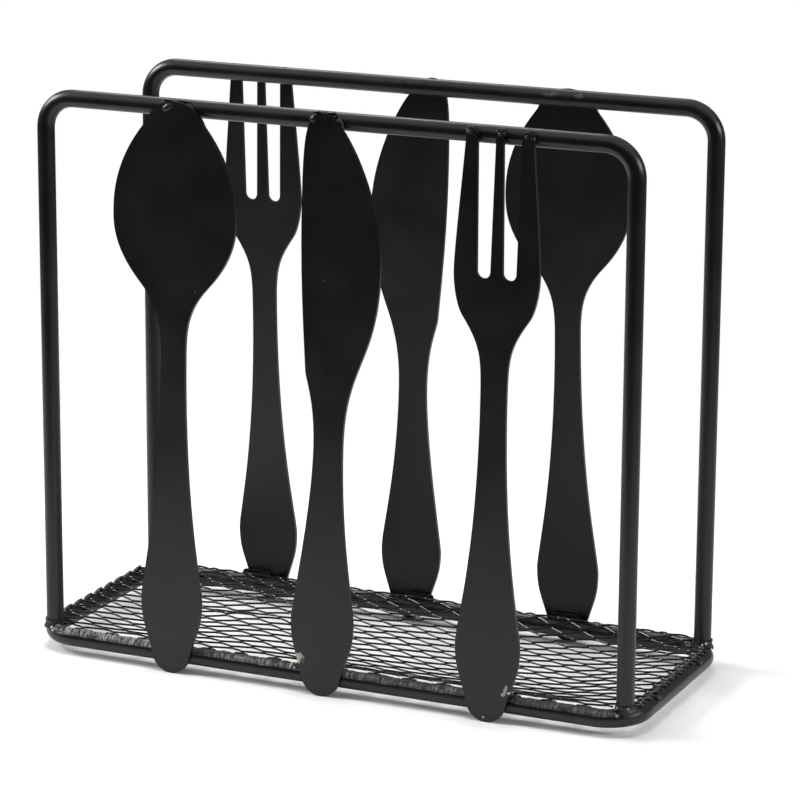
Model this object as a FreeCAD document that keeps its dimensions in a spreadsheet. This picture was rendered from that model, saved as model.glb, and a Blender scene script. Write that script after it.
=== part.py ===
"""Open napkin holder of welded steel rod, with cutlery plates and an expanded-mesh floor.

Millimetres, +Z up, front towards -Y. The origin is on the table, under the middle of the holder.

Two inverted U frames of round rod stand on the corners of a closed rod ring. Six plates cut as a
spoon, a knife and a fork lie against the outside of the rails and of the ring: the front set reads
spoon, knife, fork from left to right, and the rear set is the front set turned half round. The ring
is wider than the frames, so the plates lean, and the holder stands on the tips of their handles.
A sheet of expanded mesh lies on the ring. Beads of weld hold all of it together.
"""
import FreeCAD, Part
import Sketcher
import math
import os

from FreeCAD import Placement, Rotation, Vector

X_AXIS = Vector(1, 0, 0)
Z_AXIS = Vector(0, 0, 1)
MIDDLE_LINE = Vector(0, 1, 0)      # of an outline, in its own sketch
ALONG_X = Rotation(Vector(0, 1, 0), 90)
ALONG_Y = Rotation(X_AXIS, -90)
FRONT = 1
REAR = -1

SIZES = {
    # rod frames and ring
    "frame_width": 160.0,          # between the leg axes
    "frame_depth": 56.0,           # between the planes of the two frames
    "frame_rise": 142.0,           # from the ring's axis to the rail's axis
    "rail_bend_radius": 8.0,       # at the rod's axis
    "rod_diameter": 4.5,
    "ring_lift": 2.0,              # from the table to the underside of the ring
    "ring_overhang_side": 2.5,     # how far the ring's axis stands outside the leg axes, along X
    "ring_overhang_front": 3.2,    # the same along Y
    "leg_end_drop": 1.2,           # the coped leg ends this far above the ring's axis
    # plates
    "plate_thickness": 1.0,
    "front_spoon_offset": 42.5,    # from the middle of the holder to the foot of the plate
    "front_knife_offset": 0.1,
    "front_fork_offset": 45.5,
    "rear_spoon_offset": 40.2,
    "rear_knife_offset": 5.7,
    "rear_fork_offset": 48.1,
    "front_spoon_turn": 0.45,      # degrees clockwise about its foot: the plates are set by hand
    "front_knife_turn": 0.9,
    "front_fork_turn": 0.25,
    "rear_spoon_turn": 0.55,
    "rear_knife_turn": -1.4,
    "rear_fork_turn": 0.1,
    "spoon_over_rail": 1.9,        # from the rail's axis to the top of the plate
    "knife_over_rail": 2.05,
    "fork_over_rail": 1.55,
    "handle_width": 17.1,
    "handle_belly_height": 19.3,
    "handle_tip_radius": 5.3,
    "spoon_neck_width": 6.9,
    "spoon_bowl_width": 34.3,
    "spoon_tip_radius": 8.8,
    "spoon_neck_drop": 65.2,       # each drop is measured down from the top of the plate
    "spoon_flare_drop": 46.5,
    "spoon_flare_width": 19.0,
    "spoon_bowl_drop": 28.2,
    "fork_neck_width": 6.8,
    "fork_shoulder_width": 22.4,
    "fork_top_width": 17.4,
    "fork_neck_drop": 66.8,
    "fork_flare_drop": 45.8,
    "fork_flare_width": 17.4,
    "fork_shoulder_drop": 34.8,
    "fork_slot_drop": 36.3,
    "fork_slot_width": 3.6,
    "fork_slot_top_width": 4.8,
    "fork_middle_tine_width": 3.2,
    "fork_middle_tine_top_width": 1.9,
    "fork_tine_corner_radius": 1.4,
    "knife_spine_neck": 3.42,      # from the handle's middle line, as are the next seven
    "knife_edge_neck": 4.42,
    "knife_spine_heel": 6.17,
    "knife_spine_width": 8.2,
    "knife_edge_width": 13.45,
    "knife_point_shift": 3.0,
    "knife_neck_drop": 83.4,
    "knife_heel_drop": 64.5,
    "knife_edge_drop": 36.4,
    "knife_spine_drop": 22.4,
    # expanded mesh
    "mesh_thickness": 0.8,
    "mesh_lap": 0.9,               # how far the sheet reaches past the ring's axis
    "mesh_diamond_length": 9.4,    # pitch along X
    "mesh_diamond_width": 5.5,     # pitch along Y
    "mesh_strand_width": 0.9,
    "mesh_rim": 0.8,               # least solid edge outside the openings
    # welds
    "weld_gap": 0.05,              # between pieces that a weld joins
    "mesh_clearance": 0.4,         # from the mesh's edge to the welds behind the plates
    "foot_weld_radius": 3.3,
    "foot_weld_height": 2.8,
    "top_weld_radius": 1.05,
    "ring_weld_radius": 1.5,
    "spoon_top_weld_length": 8.0,
    "knife_top_weld_length": 7.0,
    "tine_weld_length": 3.6,
    "ring_weld_length": 9.0,
    "ring_weld_shift": 3.2,        # towards the spine of the knife and the right of the fork
    "tack_radius": 1.1,
    "tack_length": 3.6,
    "tack_side_spacing": 30.0,
    "tack_long_spacing": 66.0,
    "seam_offset": 21.0,           # from the middle of the rear side, between knife and spoon
    "seam_weld_proud": 0.45,
    "seam_weld_width": 2.4,
}

# How far each curve of an outline reaches towards its neighbour, as a share of its own rise.
TIP_SWEEP = math.radians(77)
HANDLE_FULLNESS = (0.455, 0.46)
HANDLE_TAPER = (0.083, 0.633)
SPOON_FLARE = (0.35, 0.47)
SPOON_SHOULDER = (0.645, 0.18)
SPOON_CROWN = (0.59, 0.044)
SPOON_FLARE_ANGLE = math.radians(43)
SPOON_TIP_SWEEP = math.radians(67.6)
FORK_FLARE = (0.516, 0.43)
FORK_SHOULDER = (0.235, 0.373)
FORK_FLARE_ANGLE = math.radians(35.5)
FORK_SIDE = (0.15, 0.4)
KNIFE_SPINE_TAPER = (0.066, 0.364)
KNIFE_EDGE_TAPER = (0.113, 0.54)
KNIFE_HEEL = (0.628, 0.153)
KNIFE_HEEL_ANGLE = math.radians(4.7)
KNIFE_SPINE = (0.387, 0.342)
KNIFE_POINT = (0.719, 0.213)
KNIFE_EDGE = (0.475, 0.533)
KNIFE_BELLY = (0.441, 0.162)

# Lengths worked out from the sheet, as expressions.
ROD_RADIUS = "(Sizes.rod_diameter / 2)"
LEG_X = "(Sizes.frame_width / 2)"
FRAME_Y = "(Sizes.frame_depth / 2)"
RING_X = f"({LEG_X} + Sizes.ring_overhang_side)"
RING_Y = f"({FRAME_Y} + Sizes.ring_overhang_front)"
RING_Z = f"(Sizes.ring_lift + {ROD_RADIUS})"
RAIL_Z = f"({RING_Z} + Sizes.frame_rise)"
# With this radius the ring's corners pass exactly under the leg axes.
CORNER_RADIUS = ("(Sizes.ring_overhang_side + Sizes.ring_overhang_front"
                 " + sqrt(2 * Sizes.ring_overhang_side * Sizes.ring_overhang_front))")
STAND_OFF = f"({ROD_RADIUS} + Sizes.weld_gap)"
LEAN = "atan(Sizes.ring_overhang_front / Sizes.frame_rise)"
PLATE_FOOT_Y = f"({RING_Y} + {RING_Z} * tan({LEAN}) + {STAND_OFF} / cos({LEAN}))"
MESH_Z = f"({RING_Z} + {STAND_OFF})"
# Heights of the ring's and the rail's axes along a leaning plate, from its foot.
RING_ON_PLATE = f"(({RING_Z} + {STAND_OFF} * sin({LEAN})) / cos({LEAN}))"
RAIL_ON_PLATE = f"({RING_ON_PLATE} + Sizes.frame_rise / cos({LEAN}))"

doc = FreeCAD.newDocument("napkin_holder")
sheet = doc.addObject("Spreadsheet::Sheet", "Sizes")
for row, (alias, value) in enumerate(SIZES.items(), start=1):
    sheet.set(f"A{row}", alias)
    sheet.set(f"B{row}", str(value))
    sheet.setAlias(f"B{row}", alias)
doc.recompute()


def size(alias):
    """The sheet's value of one driving dimension."""
    return float(getattr(sheet, alias))


ROD = size("rod_diameter") / 2
GAP = size("weld_gap")
LEAN_ANGLE = math.atan2(size("ring_overhang_front"), size("frame_rise"))
RING_AXIS_Z = size("ring_lift") + ROD
RING_ON_PLATE_AT = (RING_AXIS_Z + (ROD + GAP) * math.sin(LEAN_ANGLE)) / math.cos(LEAN_ANGLE)
RAIL_ON_PLATE_AT = RING_ON_PLATE_AT + size("frame_rise") / math.cos(LEAN_ANGLE)
LEG_AT = (size("frame_width") / 2, size("frame_depth") / 2)
RING_AT = (LEG_AT[0] + size("ring_overhang_side"), LEG_AT[1] + size("ring_overhang_front"))
CORNER = (size("ring_overhang_side") + size("ring_overhang_front")
          + math.sqrt(2 * size("ring_overhang_side") * size("ring_overhang_front")))


# ---------------------------------------------------------------- helpers

def new_body(label):
    body = doc.addObject("PartDesign::Body", label)
    body.Label = label
    return body


def new_sketch(body, name, plane, offset=None):
    """A sketch on one of the body's own origin planes, raised along its normal by an expression."""
    sketch = body.newObject("Sketcher::SketchObject", name)
    support = next(f for f in body.Origin.OriginFeatures if f.Role == plane)
    sketch.AttachmentSupport = [(support, "")]
    sketch.MapMode = "FlatFace"
    if offset:
        sketch.setExpression("AttachmentOffset.Base.z", offset)
    return sketch


def dimension(sketch, name, expression, kind, *geometry):
    """A named dimensional constraint bound to the sheet."""
    index = sketch.addConstraint(Sketcher.Constraint(kind, *geometry))
    sketch.renameConstraint(index, name)
    sketch.setExpression(f"Constraints.{name}", expression)


def chain(sketch, first, count, closed=False):
    """Join a run of lines and arcs end to start, each tangent to the next."""
    last = count if closed else count - 1
    for step in range(last):
        here = first + step
        after = first + (step + 1) % count
        sketch.addConstraint(Sketcher.Constraint("Tangent", here, 2, after, 1))


def rod_profile(body, name, plane, offset, across, up):
    """The rod's round section, centred at (across, up) in its sketch."""
    sketch = new_sketch(body, name, plane, offset)
    centre = Vector(across[0], up[0], 0)
    sketch.addGeometry(Part.Circle(centre, Z_AXIS, ROD), False)
    dimension(sketch, "rod_radius", ROD_RADIUS, "Radius", 0, ROD)
    dimension(sketch, "across", across[1], "DistanceX", -1, 1, 0, 3, across[0])
    if up[0]:
        dimension(sketch, "up", up[1], "DistanceY", -1, 1, 0, 3, up[0])
    else:
        sketch.addConstraint(Sketcher.Constraint("PointOnObject", 0, 3, -1))
    return sketch


def pipe(body, profile, path):
    sweep = body.newObject("PartDesign::AdditivePipe", f"{body.Label}_rod")
    sweep.Profile = profile
    sweep.Spine = path
    sweep.Transition = "Transformed"
    return sweep


def arc(centre, radius, start, end):
    """A counter-clockwise arc from one angle to another, in degrees."""
    circle = Part.Circle(Vector(centre[0], centre[1], 0), Z_AXIS, radius)
    return Part.ArcOfCircle(circle, math.radians(start), math.radians(end))


def line(start, end):
    return Part.LineSegment(Vector(start[0], start[1], 0), Vector(end[0], end[1], 0))


# ---------------------------------------------------------------- rod ring and frames

def make_ring():
    """Closed rounded rectangle of rod, starting and ending at its seam in the rear side."""
    body = new_body("base_ring")
    x, y = RING_AT
    inner_x = x - CORNER
    inner_y = y - CORNER
    seam = size("seam_offset")
    path = new_sketch(body, "ring_path", "XY_Plane", RING_Z)
    path.addGeometry([
        line((seam, y), (-inner_x, y)),
        arc((-inner_x, inner_y), CORNER, 90, 180),
        line((-x, inner_y), (-x, -inner_y)),
        arc((-inner_x, -inner_y), CORNER, 180, 270),
        line((-inner_x, -y), (inner_x, -y)),
        arc((inner_x, -inner_y), CORNER, 270, 360),
        line((x, -inner_y), (x, inner_y)),
        arc((inner_x, inner_y), CORNER, 0, 90),
        line((inner_x, y), (seam, y)),
    ], False)
    chain(path, 0, 9)
    path.addConstraint(Sketcher.Constraint("Coincident", 8, 2, 0, 1))
    for level in (0, 4, 8):
        path.addConstraint(Sketcher.Constraint("Horizontal", level))
    for upright in (2, 6):
        path.addConstraint(Sketcher.Constraint("Vertical", upright))
    dimension(path, "seam", "Sizes.seam_offset", "DistanceX", -1, 1, 0, 1, seam)
    dimension(path, "rear_side", RING_Y, "DistanceY", -1, 1, 0, 1, y)
    dimension(path, "left_end", RING_X, "DistanceX", 2, 1, -1, 1, x)
    dimension(path, "front_side", RING_Y, "DistanceY", 4, 1, -1, 1, y)
    dimension(path, "right_end", RING_X, "DistanceX", -1, 1, 6, 1, x)
    for number, corner in enumerate((1, 3, 5, 7), start=1):
        dimension(path, f"corner_{number}", CORNER_RADIUS, "Radius", corner, CORNER)
    profile = rod_profile(body, "ring_section", "YZ_Plane", "Sizes.seam_offset",
                          (y, RING_Y), (RING_AXIS_Z, RING_Z))
    pipe(body, profile, path)
    return body


def cope(body, name, across):
    """The hollow that the ring's corner leaves in the end of a leg."""
    tool = body.newObject("PartDesign::SubtractiveTorus", name)
    tool.Radius1 = CORNER
    tool.Radius2 = ROD + GAP
    tool.setExpression("Radius1", CORNER_RADIUS)
    tool.setExpression("Radius2", STAND_OFF)
    tool.setExpression("Placement.Base.x", f"{across} * ({RING_X} - {CORNER_RADIUS})")
    tool.setExpression("Placement.Base.z", RING_Z)
    return tool


def make_frame(label, side):
    """Inverted U of rod in its own XZ plane, its legs coped to the ring's corners."""
    body = new_body(label)
    body.setExpression("Placement.Base.y", f"-{side} * {FRAME_Y}")
    x = LEG_AT[0]
    bend = size("rail_bend_radius")
    foot = RING_AXIS_Z + size("leg_end_drop")
    rail = RING_AXIS_Z + size("frame_rise")
    path = new_sketch(body, f"{label}_path", "XZ_Plane")
    path.addGeometry([
        line((x, foot), (x, rail - bend)),
        arc((x - bend, rail - bend), bend, 0, 90),
        line((x - bend, rail), (bend - x, rail)),
        arc((bend - x, rail - bend), bend, 90, 180),
        line((-x, rail - bend), (-x, foot)),
    ], False)
    chain(path, 0, 5)
    for leg in (0, 4):
        path.addConstraint(Sketcher.Constraint("Vertical", leg))
    path.addConstraint(Sketcher.Constraint("Horizontal", 2))
    leg_end = f"({RING_Z} + Sizes.leg_end_drop)"
    dimension(path, "right_leg", LEG_X, "DistanceX", -1, 1, 0, 1, x)
    dimension(path, "left_leg", LEG_X, "DistanceX", 4, 2, -1, 1, x)
    dimension(path, "right_foot", leg_end, "DistanceY", -1, 1, 0, 1, foot)
    dimension(path, "left_foot", leg_end, "DistanceY", -1, 1, 4, 2, foot)
    dimension(path, "rail_height", RAIL_Z, "DistanceY", -1, 1, 2, 1, rail)
    dimension(path, "right_bend", "Sizes.rail_bend_radius", "Radius", 1, bend)
    dimension(path, "left_bend", "Sizes.rail_bend_radius", "Radius", 3, bend)
    profile = rod_profile(body, f"{label}_section", "XY_Plane", leg_end, (x, LEG_X), (0, "0"))
    pipe(body, profile, path)
    for name, across in ((f"{label}_right_cope", 1), (f"{label}_left_cope", -1)):
        tool = cope(body, name, across)
        inner_y = f"({RING_Y} - {CORNER_RADIUS})"
        tool.setExpression("Placement.Base.y", f"{side} * ({FRAME_Y} - {inner_y})")
    return body


# ---------------------------------------------------------------- plates

def curve(start, leaving, end, arriving, pulls):
    """A smooth edge between two points of an outline.

    The headings are angles from straight up, positive away from the middle line, and the pulls
    are shares of the edge's rise.
    """
    rise = abs(end[1] - start[1])
    first = (start[0] + pulls[0] * rise * math.sin(leaving), start[1] + pulls[0] * rise * math.cos(leaving))
    second = (end[0] - pulls[1] * rise * math.sin(arriving), end[1] - pulls[1] * rise * math.cos(arriving))
    bezier = Part.BezierCurve()
    bezier.setPoles([Vector(x, z, 0) for x, z in (start, first, second, end)])
    return bezier.toBSpline()


def three_point_arc(start, middle, end):
    points = [Vector(x, z, 0) for x, z in (start, middle, end)]
    return Part.Arc(*points)


def mirrored(edges):
    """The same edges on the other side of the middle line."""
    copies = []
    for edge in edges:
        twin = edge.copy()
        twin.mirror(Vector(0, 0, 0), MIDDLE_LINE)
        copies.append(twin)
    return copies


def handle_foot():
    """Right half of the handle, from its tip on the table to its belly."""
    radius = size("handle_tip_radius")
    turn = TIP_SWEEP
    end = (radius * math.sin(turn), radius * (1 - math.cos(turn)))
    middle = (radius * math.sin(turn / 2), radius * (1 - math.cos(turn / 2)))
    belly = (size("handle_width") / 2, size("handle_belly_height"))
    return [
        three_point_arc((0, 0), middle, end),
        curve(end, math.pi / 2 - turn, belly, 0, HANDLE_FULLNESS),
    ], belly


def spoon_outline():
    top = RAIL_ON_PLATE_AT + size("spoon_over_rail")
    edges, belly = handle_foot()
    neck = (size("spoon_neck_width") / 2, top - size("spoon_neck_drop"))
    flare = (size("spoon_flare_width") / 2, top - size("spoon_flare_drop"))
    bowl = (size("spoon_bowl_width") / 2, top - size("spoon_bowl_drop"))
    radius = size("spoon_tip_radius")
    turn = SPOON_TIP_SWEEP
    crown = (radius * math.sin(turn), top - radius * (1 - math.cos(turn)))
    middle = (radius * math.sin(turn / 2), top - radius * (1 - math.cos(turn / 2)))
    edges += [
        curve(belly, 0, neck, 0, HANDLE_TAPER),
        curve(neck, 0, flare, SPOON_FLARE_ANGLE, SPOON_FLARE),
        curve(flare, SPOON_FLARE_ANGLE, bowl, 0, SPOON_SHOULDER),
        curve(bowl, 0, crown, turn - math.pi / 2, SPOON_CROWN),
        three_point_arc(crown, middle, (0, top)),
    ]
    return edges + mirrored(edges)


def fork_outline():
    top = RAIL_ON_PLATE_AT + size("fork_over_rail")
    edges, belly = handle_foot()
    neck = (size("fork_neck_width") / 2, top - size("fork_neck_drop"))
    flare = (size("fork_flare_width") / 2, top - size("fork_flare_drop"))
    shoulder = (size("fork_shoulder_width") / 2, top - size("fork_shoulder_drop"))
    corner = size("fork_tine_corner_radius")
    side_top = (size("fork_top_width") / 2, top - corner)
    lean = math.atan2(side_top[0] - shoulder[0], side_top[1] - shoulder[1])
    slot = size("fork_slot_width") / 2
    middle_half = size("fork_middle_tine_width") / 2
    middle_top = size("fork_middle_tine_top_width") / 2
    slot_centre = (middle_half + slot, top - size("fork_slot_drop") + slot)
    inner_top = (middle_top + size("fork_slot_top_width"), top - corner)
    chord = corner * (1 - math.cos(math.pi / 4))
    edges += [
        curve(belly, 0, neck, 0, HANDLE_TAPER),
        curve(neck, 0, flare, FORK_FLARE_ANGLE, FORK_FLARE),
        curve(flare, FORK_FLARE_ANGLE, shoulder, 0, FORK_SHOULDER),
        curve(shoulder, 0, side_top, lean, FORK_SIDE),
        three_point_arc(side_top, (side_top[0] - chord, top - chord), (side_top[0] - corner, top)),
        line((side_top[0] - corner, top), (inner_top[0] + corner, top)),
        three_point_arc((inner_top[0] + corner, top), (inner_top[0] + chord, top - chord), inner_top),
        line(inner_top, (slot_centre[0] + slot, slot_centre[1])),
        three_point_arc((slot_centre[0] + slot, slot_centre[1]), (slot_centre[0], slot_centre[1] - slot),
                        (middle_half, slot_centre[1])),
        line((middle_half, slot_centre[1]), (middle_top, top - middle_top)),
        three_point_arc((middle_top, top - middle_top),
                        (middle_top * math.sin(math.pi / 4), top - middle_top * (1 - math.cos(math.pi / 4))),
                        (0, top)),
    ]
    return edges + mirrored(edges)


def knife_outline():
    """Straight spine on the left, curved cutting edge on the right, meeting in a rounded point."""
    top = RAIL_ON_PLATE_AT + size("knife_over_rail")
    foot, belly = handle_foot()
    neck_z = top - size("knife_neck_drop")
    point = size("knife_point_shift")
    edge_neck = (size("knife_edge_neck"), neck_z)
    edge_wide = (size("knife_edge_width"), top - size("knife_edge_drop"))
    spine_neck = (size("knife_spine_neck"), neck_z)
    spine_heel = (size("knife_spine_heel"), top - size("knife_heel_drop"))
    spine_wide = (size("knife_spine_width"), top - size("knife_spine_drop"))
    cutting = foot + [
        curve(belly, 0, edge_neck, 0, KNIFE_EDGE_TAPER),
        curve(edge_neck, 0, edge_wide, 0, KNIFE_EDGE),
        curve(edge_wide, 0, (-point, top), -math.pi / 2, KNIFE_BELLY),
    ]
    spine = foot + [
        curve(belly, 0, spine_neck, 0, KNIFE_SPINE_TAPER),
        curve(spine_neck, 0, spine_heel, KNIFE_HEEL_ANGLE, KNIFE_HEEL),
        curve(spine_heel, KNIFE_HEEL_ANGLE, spine_wide, 0, KNIFE_SPINE),
        curve(spine_wide, 0, (point, top), -math.pi / 2, KNIFE_POINT),
    ]
    return cutting + mirrored(spine)


def turned(edges, side):
    """The outline as it is seen on the front, or its mirror image for the rear."""
    return edges if side == FRONT else mirrored(edges)


def lean_on_rods(piece, side, across):
    """Seat a piece drawn on a plate's back face against the rail and the ring."""
    piece.Placement = Placement(Vector(0, 0, 0), Rotation(X_AXIS, 1))
    piece.setExpression("Placement.Rotation.Angle", f"-{side} * {LEAN}")
    piece.setExpression("Placement.Base.x", f"{side} * {across}")
    piece.setExpression("Placement.Base.y", f"-{side} * {PLATE_FOOT_Y}")


def make_plate(label, outline, side, across):
    body = new_body(label)
    sketch = new_sketch(body, f"{label}_outline", "XZ_Plane")
    sketch.setExpression("AttachmentOffset.Rotation.Angle", f"-{side} * Sizes.{label}_turn")
    sketch.addGeometry(turned(outline, side), False)
    pad = body.newObject("PartDesign::Pad", f"{label}_sheet")
    pad.Profile = sketch
    pad.setExpression("Length", "Sizes.plate_thickness")
    pad.Reversed = side == REAR
    lean_on_rods(body, side, across)
    return body


# ---------------------------------------------------------------- expanded mesh

def mesh_face():
    """The flat sheet with its diamond openings, bitten away round the legs."""
    lap = size("mesh_lap")
    half_x = RING_AT[0] + lap
    half_y = RING_AT[1] + lap
    corner = CORNER + lap
    bite = size("foot_weld_radius") + size("mesh_rim") / 2
    rim = size("mesh_rim")
    blank = Part.makePlane(2 * half_x, 2 * half_y, Vector(-half_x, -half_y, 0))
    rounding = blank.extrude(Z_AXIS)
    uprights = [e for e in rounding.Edges if abs(e.tangentAt(e.FirstParameter).z) > 0.5]
    rounded = rounding.makeFillet(corner, uprights)
    legs = [Vector(sx * LEG_AT[0], sy * LEG_AT[1], -1) for sx in (-1, 1) for sy in (-1, 1)]
    for leg in legs:
        rounded = rounded.cut(Part.makeCylinder(bite, 3, leg))
    base = min(rounded.Faces, key=lambda face: face.CenterOfMass.z)
    outer = base.OuterWire

    def inside(x, y):
        if abs(x) > half_x - rim or abs(y) > half_y - rim:
            return False
        past = (abs(x) - (half_x - corner), abs(y) - (half_y - corner))
        if min(past) > 0 and math.hypot(*past) > corner - rim:
            return False
        return math.hypot(abs(x) - LEG_AT[0], abs(y) - LEG_AT[1]) > bite + rim

    half_long = size("mesh_diamond_length") / 2
    half_short = size("mesh_diamond_width") / 2
    reach = half_long * half_short / math.hypot(half_long, half_short)
    share = 1 - size("mesh_strand_width") / 2 / reach
    columns = math.ceil(half_x / half_long)
    rows = math.ceil(half_y / half_short)
    openings = []
    for row in range(-rows, rows + 1):
        for column in range(-columns, columns + 1):
            if (row + column) % 2 == 0:
                continue
            x = column * half_long
            y = row * half_short
            corners = [(x + share * half_long, y), (x, y + share * half_short),
                       (x - share * half_long, y), (x, y - share * half_short)]
            if all(inside(*corner_point) for corner_point in corners):
                ring = [Vector(px, py, 0) for px, py in corners + corners[:1]]
                openings.append(Part.makePolygon(ring))
    return Part.makeFace([outer] + openings, "Part::FaceMakerBullseye")


def make_mesh():
    sheet_face = doc.addObject("Part::Feature", "mesh_face")
    sheet_face.Shape = mesh_face()
    mesh = doc.addObject("Part::Extrusion", "base_mesh")
    mesh.Label = "base_mesh"
    mesh.Base = sheet_face
    mesh.DirMode = "Custom"
    mesh.Dir = Z_AXIS
    mesh.Solid = True
    mesh.setExpression("LengthFwd", "Sizes.mesh_thickness")
    mesh.setExpression("Placement.Base.z", MESH_Z)
    return mesh


# ---------------------------------------------------------------- welds

def bead(name, length, radius, turn=0):
    """A round-ended bead along X, or turned about Z, built round its own middle.

    Its length and radius are expressions.
    """
    reach = f"({length} / 2 - {radius})"
    core = doc.addObject("Part::Cylinder", f"{name}_core")
    core.setExpression("Radius", radius)
    core.setExpression("Height", f"2 * {reach}")
    core.setExpression("Placement.Base.z", f"-{reach}")
    parts = [core]
    for end, way in (("low", -1), ("high", 1)):
        cap = doc.addObject("Part::Sphere", f"{name}_{end}")
        cap.setExpression("Radius", radius)
        cap.setExpression("Placement.Base.z", f"{way} * {reach}")
        parts.append(cap)
    blob = doc.addObject("Part::MultiFuse", name)
    blob.Shapes = parts
    blob.Placement = Placement(Vector(0, 0, 0), Rotation(Z_AXIS, turn) * ALONG_X)
    return blob


def place(piece, x, y, z):
    """Bind a piece's place to three expressions."""
    for axis, expression in zip("xyz", (x, y, z)):
        piece.setExpression(f"Placement.Base.{axis}", expression)


def rod_along_x(name, y, z):
    """The room that a straight rod along X needs, with the weld gap round it."""
    rod = doc.addObject("Part::Cylinder", name)
    rod.Placement = Placement(Vector(0, 0, 0), ALONG_X)
    rod.setExpression("Radius", STAND_OFF)
    rod.setExpression("Height", "Sizes.frame_width")
    place(rod, f"-{LEG_X}", y, z)
    return rod


def box(name, lengths, corner):
    block = doc.addObject("Part::Box", name)
    for key, expression in zip(("Length", "Width", "Height"), lengths):
        block.setExpression(key, expression)
    place(block, *corner)
    return block


def cut(label, beads, tools):
    """The group of beads, less the room of the pieces that they join."""
    group = doc.addObject("Part::Compound", f"{label}_beads")
    group.Links = beads
    room = doc.addObject("Part::MultiFuse", f"{label}_room")
    room.Shapes = tools
    welds = doc.addObject("Part::Cut", label)
    welds.Label = label
    welds.Base = group
    welds.Tool = room
    return welds


def make_plate_welds(plate, side, across, over_rail, top_beads, ring_shift):
    """Beads behind one plate: on its top edge over the rail, and in the groove over the ring.

    top_beads lists (place across the plate, length) of each bead on the top edge, and ring_shift
    is the place across the plate of the bead at the ring.
    """
    label = f"{plate}_welds"
    slant = f"tan(Sizes.{plate}_turn * 1 deg)"
    top = f"({RAIL_ON_PLATE} + {over_rail})"
    ring_top = f"({RING_ON_PLATE} + {ROD_RADIUS})"
    beads = []
    for number, (along, length) in enumerate(top_beads, start=1):
        blob = bead(f"{label}_top_{number}", length, "Sizes.top_weld_radius")
        place(blob, f"{side} * ({along} + {top} * {slant})", f"{side} * Sizes.top_weld_radius / 2",
              f"{top} - Sizes.top_weld_radius / 2")
        beads.append(blob)
    groove = bead(f"{label}_ring", "Sizes.ring_weld_length", "Sizes.ring_weld_radius")
    place(groove, f"{side} * ({ring_shift} + {ring_top} * {slant})",
          f"{side} * Sizes.ring_weld_radius / 2", ring_top)
    beads.append(groove)
    rail = rod_along_x(f"{label}_rail_room", f"{side} * {STAND_OFF}", RAIL_ON_PLATE)
    ring = rod_along_x(f"{label}_ring_room", f"{side} * {STAND_OFF}", RING_ON_PLATE)
    thick = "(Sizes.plate_thickness + 2 * Sizes.weld_gap)"
    outer = "-Sizes.weld_gap" if side == REAR else "-Sizes.plate_thickness - Sizes.weld_gap"
    sheet_room = box(f"{label}_plate_room", ("Sizes.frame_width", thick, f"{top} + Sizes.weld_gap"),
                     (f"-{LEG_X}", outer, "0"))
    mesh_edge = f"({STAND_OFF} - Sizes.mesh_lap - Sizes.mesh_clearance)"
    inner = mesh_edge if side == FRONT else f"-{mesh_edge} - {FRAME_Y}"
    mesh = box(f"{label}_mesh_room", ("Sizes.frame_width", FRAME_Y, "Sizes.ring_weld_radius * 4"),
               (f"-{LEG_X}", inner, ring_top))
    welds = cut(label, beads, [rail, ring, sheet_room, mesh])
    lean_on_rods(welds, side, across)
    return welds


def make_foot_welds(label, side):
    """A sloped bead round each leg of one frame, where it stands on the ring."""
    beads = []
    tools = []
    start = f"({RING_Z} + Sizes.leg_end_drop)"
    for name, across in (("left", -1), ("right", 1)):
        leg_place = (f"{across} * {LEG_X}", f"-{side} * {FRAME_Y}", start)
        cone = doc.addObject("Part::Cone", f"{label}_{name}")
        cone.setExpression("Radius1", "Sizes.foot_weld_radius")
        cone.setExpression("Radius2", f"{STAND_OFF} + Sizes.weld_gap")
        cone.setExpression("Height", "Sizes.foot_weld_height")
        place(cone, *leg_place)
        beads.append(cone)
        leg = doc.addObject("Part::Cylinder", f"{label}_{name}_leg_room")
        leg.setExpression("Radius", STAND_OFF)
        leg.setExpression("Height", "Sizes.foot_weld_height * 2")
        place(leg, leg_place[0], leg_place[1], RING_Z)
        ring = doc.addObject("Part::Torus", f"{label}_{name}_ring_room")
        ring.setExpression("Radius1", CORNER_RADIUS)
        ring.setExpression("Radius2", STAND_OFF)
        place(ring, f"{across} * ({RING_X} - {CORNER_RADIUS})",
              f"-{side} * ({RING_Y} - {CORNER_RADIUS})", RING_Z)
        tools += [leg, ring]
    return cut(label, beads, tools)


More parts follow.
